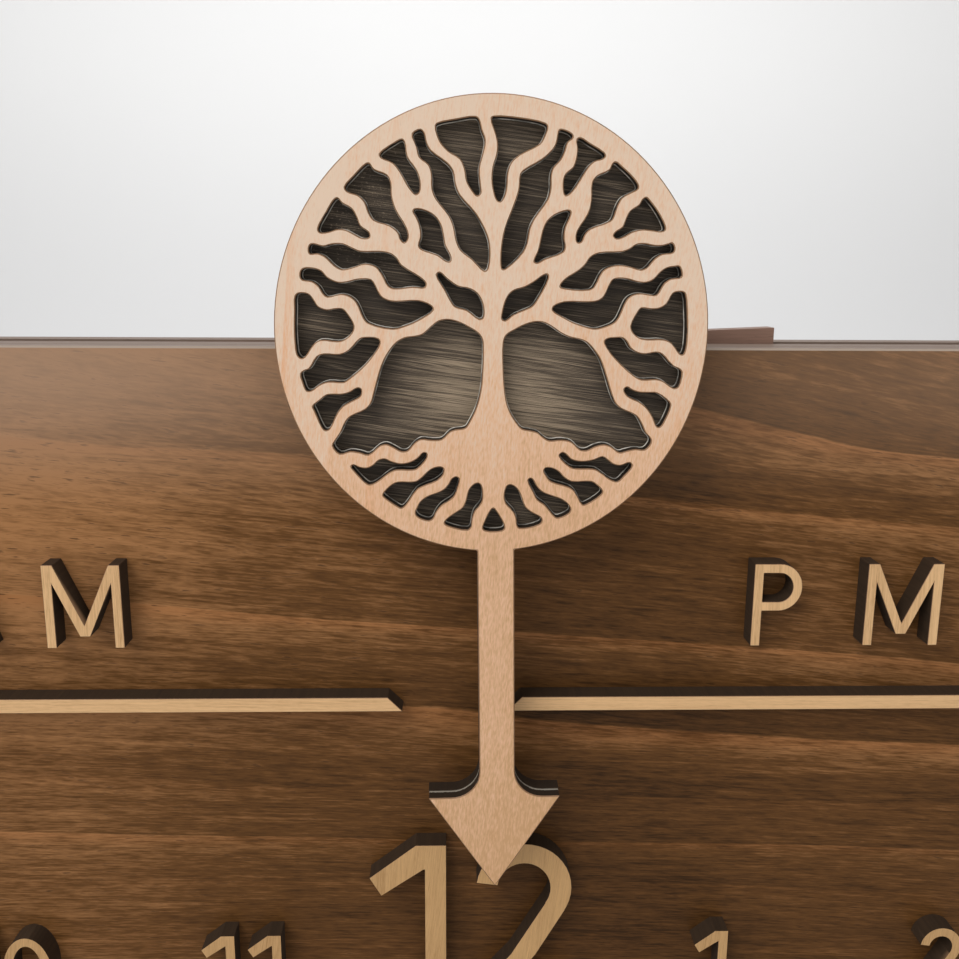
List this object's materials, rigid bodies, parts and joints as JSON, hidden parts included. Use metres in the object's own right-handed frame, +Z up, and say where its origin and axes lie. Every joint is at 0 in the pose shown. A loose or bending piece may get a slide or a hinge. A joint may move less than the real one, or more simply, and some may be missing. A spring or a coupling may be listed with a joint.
{
  "type": "linear clock",
  "caption": "Long walnut shelf or wall clock whose round tree-of-life pointer slides along a straight twelve hour dial with raised numerals.",
  "frame": {"origin": "centre of the case's bottom face, where it stands on a shelf", "axes": "+X along the dial to the right, the dial faces -Y, +Z up; the noon mark is at X = 0"},
  "size_m": [0.96, 0.069, 0.265],
  "materials": {
    "walnut_face": "oiled walnut, long flowing figure",
    "walnut_edge": "oiled walnut edges, paler",
    "maple": "pale maple, satin",
    "maple_face": "pinkish maple, laser cut",
    "dark_ply": "dark stained wood, laser cut",
    "steel": "zinc plated",
    "rod_steel": "ground and hardened",
    "brass": "turned",
    "aluminium": "turned",
    "black_plastic": "moulded",
    "printed_plastic": "printed, fine layers",
    "white_plastic": "moulded",
    "red_plastic": "moulded",
    "board_green": "circuit board with lacquer",
    "rubber": "matte"
  },
  "bodies": {
    "case": {"front_board": "walnut_face", "top_rail": "walnut_edge", "rear_top_rail": "walnut_edge", "bottom_rail": "walnut_edge", "left_end_cap": "walnut_edge", "right_end_cap": "walnut_edge", "back_panel": "walnut_face", "back_screws": "steel", "numeral_noon": "maple", "numerals_morning": "maple", "numerals_afternoon": "maple", "label_am": "maple", "label_pm": "maple", "divider_left": "maple", "divider_right": "maple", "hanger_plates": "steel", "hanger_screws": "steel", "wall_bumpers": "rubber", "service_hatch": "black_plastic", "hatch_cleats": "walnut_edge", "hatch_screws": "steel", "power_jack": "black_plastic", "jack_nut": "steel", "button_bodies": "steel", "control_board": "board_green", "driver_board": "board_green", "board_standoffs": "brass", "board_screws": "steel", "rod_upper": "rod_steel", "rod_lower": "rod_steel", "left_rod_block": "printed_plastic", "right_rod_block": "printed_plastic", "rod_block_screws": "steel", "motor_bracket": "steel", "motor_body": "steel", "motor_screws": "steel", "bracket_screws": "steel", "drive_belt": "rubber", "idler_bracket": "steel", "idler_axle": "steel", "motor_cable": "black_plastic", "cable_clips": "white_plastic", "home_sensor": "board_green"},
    "carriage": {"slider_plate": "walnut_face", "plate_screws": "steel", "bearing_block": "printed_plastic", "linear_bearings": "rod_steel", "belt_clamp": "printed_plastic", "belt_clamp_screws": "steel", "pointer_arm": "walnut_edge", "arm_screws": "steel", "pointer_backing": "dark_ply", "pointer_face": "maple_face"},
    "drive_wheel": {"motor_shaft": "rod_steel", "drive_pulley": "aluminium", "pulley_set_screw": "steel"},
    "idler_wheel": {"idler_bearings": "rod_steel", "idler_pulley": "aluminium"},
    "forward_cap": {"forward_button": "red_plastic"},
    "back_cap": {"back_button": "black_plastic"}
  },
  "joints": [
    {"name": "carriage_slide", "type": "slide", "parent": "case", "child": "carriage", "axis": [1, 0, 0], "range_m": [-0.3928, 0.3884]},
    {"name": "drive_pulley_spin", "type": "hinge", "parent": "case", "child": "drive_wheel", "pos_m": [0.436, 0.001, 0.116], "axis": [0, 0, 1], "continuous": true},
    {"name": "idler_pulley_spin", "type": "hinge", "parent": "case", "child": "idler_wheel", "pos_m": [-0.436, 0.001, 0.116], "axis": [0, 0, 1], "continuous": true},
    {"name": "forward_press", "type": "slide", "parent": "case", "child": "forward_cap", "axis": [0, -1, 0], "range_m": [0, 0.0015], "stiffness_N_per_m": 300, "springref_m": -0.001},
    {"name": "back_press", "type": "slide", "parent": "case", "child": "back_cap", "axis": [0, -1, 0], "range_m": [0, 0.0015], "stiffness_N_per_m": 300, "springref_m": -0.001}
  ],
  "couplings": [
    {"joint": "drive_pulley_spin", "follows": "carriage_slide", "rad_per_m": -157.09},
    {"joint": "idler_pulley_spin", "follows": "carriage_slide", "rad_per_m": -157.09}
  ]
}
